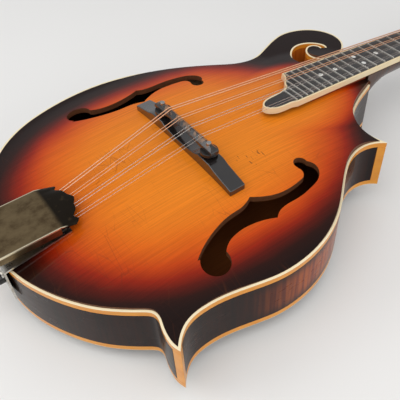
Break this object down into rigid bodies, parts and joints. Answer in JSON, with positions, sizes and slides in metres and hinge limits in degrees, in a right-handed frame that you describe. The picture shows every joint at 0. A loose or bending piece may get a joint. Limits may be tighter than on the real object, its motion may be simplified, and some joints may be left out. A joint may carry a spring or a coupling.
{
  "type": "mandolin",
  "caption": "Carved f-style mandolin with a scroll, two body points, f-shaped sound holes, worm-geared tuners, an adjustable bridge and a slide-off tailpiece cover.",
  "frame": {"origin": "middle of the strap button's seat at the tail end, halfway up the sides", "axes": "+X from the tail to the head along the strings, +Y to the bass side, +Z out of the top"},
  "size_m": [0.662, 0.2531, 0.1057],
  "materials": {
    "spruce_top": "gloss lacquer sunburst",
    "maple_back": "gloss lacquer",
    "maple_sides": "gloss lacquer",
    "maple_neck": "gloss lacquer",
    "inner_wood": "bare",
    "ivoroid": "aged and lacquered",
    "ebony": "polished",
    "black_veneer": "gloss lacquer",
    "nickel_silver": "polished",
    "pearl": "mother-of-pearl",
    "pearl_button": "pearloid on a steel shaft",
    "brushed_post": "nickel plated",
    "bone": "polished bone",
    "steel": "plain",
    "nickel_plate": "nickel plated",
    "worn_nickel": "worn plate",
    "bronze_wound": "wound",
    "steel_wire": "plain wire",
    "black_button": "gloss",
    "black_cover": "gloss"
  },
  "bodies": {
    "body": {"top_plate": "spruce_top", "back_plate": "maple_back", "top_binding": "ivoroid", "back_binding": "ivoroid", "point_caps": "ivoroid", "rim_bass_side": "maple_sides", "rim_treble_tail": "maple_sides", "rim_treble_waist": "maple_sides", "rim_cutaway": "maple_sides", "point_blocks": "inner_wood", "head_block": "maple_sides", "tail_block": "inner_wood", "linings": "inner_wood", "tone_bars": "inner_wood", "frets": "nickel_silver", "position_dots": "pearl", "fingerboard": "ebony", "fingerboard_binding": "ivoroid", "neck": "maple_neck", "fingerboard_riser": "maple_neck", "truss_rod": "steel", "headstock_veneer": "black_veneer", "nut": "bone", "bridge_base": "ebony", "bridge_posts": "steel", "tailpiece_base": "nickel_plate", "end_pin": "black_button", "tuner_plates": "nickel_plate", "tuner_ferrules": "nickel_plate", "screws": "nickel_plate", "truss_rod_cover": "black_cover", "strings_g": "bronze_wound", "strings_d": "bronze_wound", "strings_a": "steel_wire", "strings_e": "steel_wire"},
    "tailpiece_cover": {"tailpiece_cover": "worn_nickel"},
    "truss_rod_nut": {"truss_rod_nut": "steel"},
    "bridge_saddle": {"bridge_saddle": "ebony"},
    "thumbwheel_bass": {"thumbwheel_bass": "black_button"},
    "thumbwheel_treble": {"thumbwheel_treble": "black_button"},
    "tuner_worm_1": {"tuner_worm_1": "pearl_button"},
    "tuner_post_1": {"tuner_post_1": "brushed_post"},
    "tuner_worm_2": {"tuner_worm_2": "pearl_button"},
    "tuner_post_2": {"tuner_post_2": "brushed_post"},
    "tuner_worm_3": {"tuner_worm_3": "pearl_button"},
    "tuner_post_3": {"tuner_post_3": "brushed_post"},
    "tuner_worm_4": {"tuner_worm_4": "pearl_button"},
    "tuner_post_4": {"tuner_post_4": "brushed_post"},
    "tuner_worm_5": {"tuner_worm_5": "pearl_button"},
    "tuner_post_5": {"tuner_post_5": "brushed_post"},
    "tuner_worm_6": {"tuner_worm_6": "pearl_button"},
    "tuner_post_6": {"tuner_post_6": "brushed_post"},
    "tuner_worm_7": {"tuner_worm_7": "pearl_button"},
    "tuner_post_7": {"tuner_post_7": "brushed_post"},
    "tuner_worm_8": {"tuner_worm_8": "pearl_button"},
    "tuner_post_8": {"tuner_post_8": "brushed_post"}
  },
  "joints": [
    {"name": "cover_slide", "type": "slide", "parent": "body", "child": "tailpiece_cover", "axis": [-1, 0, 0], "range_m": [0, 0.055]},
    {"name": "rod_nut_turn", "type": "hinge", "parent": "body", "child": "truss_rod_nut", "pos_m": [0.50499, 0, 0.0074], "axis": [0.9962, 0, -0.0872], "range_deg": [-90, 90]},
    {"name": "saddle_height", "type": "slide", "parent": "body", "child": "bridge_saddle", "axis": [0, 0, 1], "range_m": [-0.001, 0.001], "deforming": ["strings_g", "strings_d", "strings_a", "strings_e"]},
    {"name": "thumbwheel_bass_turn", "type": "hinge", "parent": "bridge_saddle", "child": "thumbwheel_bass", "pos_m": [0.148, 0.0287, 0.04885], "axis": [0, 0, 1], "range_deg": [-455, 455]},
    {"name": "thumbwheel_treble_turn", "type": "hinge", "parent": "bridge_saddle", "child": "thumbwheel_treble", "pos_m": [0.148, -0.0287, 0.04885], "axis": [0, 0, 1], "range_deg": [-455, 455]},
    {"name": "worm_turn_1", "type": "hinge", "parent": "body", "child": "tuner_worm_1", "pos_m": [0.52493, 0.019, -0.01227], "axis": [0, 1, 0], "continuous": true},
    {"name": "post_turn_1", "type": "hinge", "parent": "body", "child": "tuner_post_1", "pos_m": [0.53881, 0.019, 0.00347], "axis": [0.3256, 0, 0.9455], "continuous": true},
    {"name": "worm_turn_2", "type": "hinge", "parent": "body", "child": "tuner_worm_2", "pos_m": [0.54705, 0.019, -0.01988], "axis": [0, 1, 0], "continuous": true},
    {"name": "post_turn_2", "type": "hinge", "parent": "body", "child": "tuner_post_2", "pos_m": [0.56093, 0.019, -0.00415], "axis": [0.3256, 0, 0.9455], "continuous": true},
    {"name": "worm_turn_3", "type": "hinge", "parent": "body", "child": "tuner_worm_3", "pos_m": [0.56918, 0.019, -0.0275], "axis": [0, 1, 0], "continuous": true},
    {"name": "post_turn_3", "type": "hinge", "parent": "body", "child": "tuner_post_3", "pos_m": [0.58306, 0.019, -0.01176], "axis": [0.3256, 0, 0.9455], "continuous": true},
    {"name": "worm_turn_4", "type": "hinge", "parent": "body", "child": "tuner_worm_4", "pos_m": [0.5913, 0.019, -0.03512], "axis": [0, 1, 0], "continuous": true},
    {"name": "post_turn_4", "type": "hinge", "parent": "body", "child": "tuner_post_4", "pos_m": [0.60518, 0.019, -0.01938], "axis": [0.3256, 0, 0.9455], "continuous": true},
    {"name": "worm_turn_5", "type": "hinge", "parent": "body", "child": "tuner_worm_5", "pos_m": [0.52493, -0.019, -0.01227], "axis": [0, 1, 0], "continuous": true},
    {"name": "post_turn_5", "type": "hinge", "parent": "body", "child": "tuner_post_5", "pos_m": [0.53881, -0.019, 0.00347], "axis": [0.3256, 0, 0.9455], "continuous": true},
    {"name": "worm_turn_6", "type": "hinge", "parent": "body", "child": "tuner_worm_6", "pos_m": [0.54705, -0.019, -0.01988], "axis": [0, 1, 0], "continuous": true},
    {"name": "post_turn_6", "type": "hinge", "parent": "body", "child": "tuner_post_6", "pos_m": [0.56093, -0.019, -0.00415], "axis": [0.3256, 0, 0.9455], "continuous": true},
    {"name": "worm_turn_7", "type": "hinge", "parent": "body", "child": "tuner_worm_7", "pos_m": [0.56918, -0.019, -0.0275], "axis": [0, 1, 0], "continuous": true},
    {"name": "post_turn_7", "type": "hinge", "parent": "body", "child": "tuner_post_7", "pos_m": [0.58306, -0.019, -0.01176], "axis": [0.3256, 0, 0.9455], "continuous": true},
    {"name": "worm_turn_8", "type": "hinge", "parent": "body", "child": "tuner_worm_8", "pos_m": [0.5913, -0.019, -0.03512], "axis": [0, 1, 0], "continuous": true},
    {"name": "post_turn_8", "type": "hinge", "parent": "body", "child": "tuner_post_8", "pos_m": [0.60518, -0.019, -0.01938], "axis": [0.3256, 0, 0.9455], "continuous": true}
  ],
  "couplings": [
    {"joint": "thumbwheel_bass_turn", "follows": "saddle_height", "rad_per_m": 7854},
    {"joint": "thumbwheel_treble_turn", "follows": "saddle_height", "rad_per_m": 7854},
    {"joint": "post_turn_1", "follows": "worm_turn_1", "ratio": 0.071429},
    {"joint": "post_turn_2", "follows": "worm_turn_2", "ratio": 0.071429},
    {"joint": "post_turn_3", "follows": "worm_turn_3", "ratio": 0.071429},
    {"joint": "post_turn_4", "follows": "worm_turn_4", "ratio": 0.071429},
    {"joint": "post_turn_5", "follows": "worm_turn_5", "ratio": 0.071429},
    {"joint": "post_turn_6", "follows": "worm_turn_6", "ratio": 0.071429},
    {"joint": "post_turn_7", "follows": "worm_turn_7", "ratio": 0.071429},
    {"joint": "post_turn_8", "follows": "worm_turn_8", "ratio": 0.071429}
  ]
}
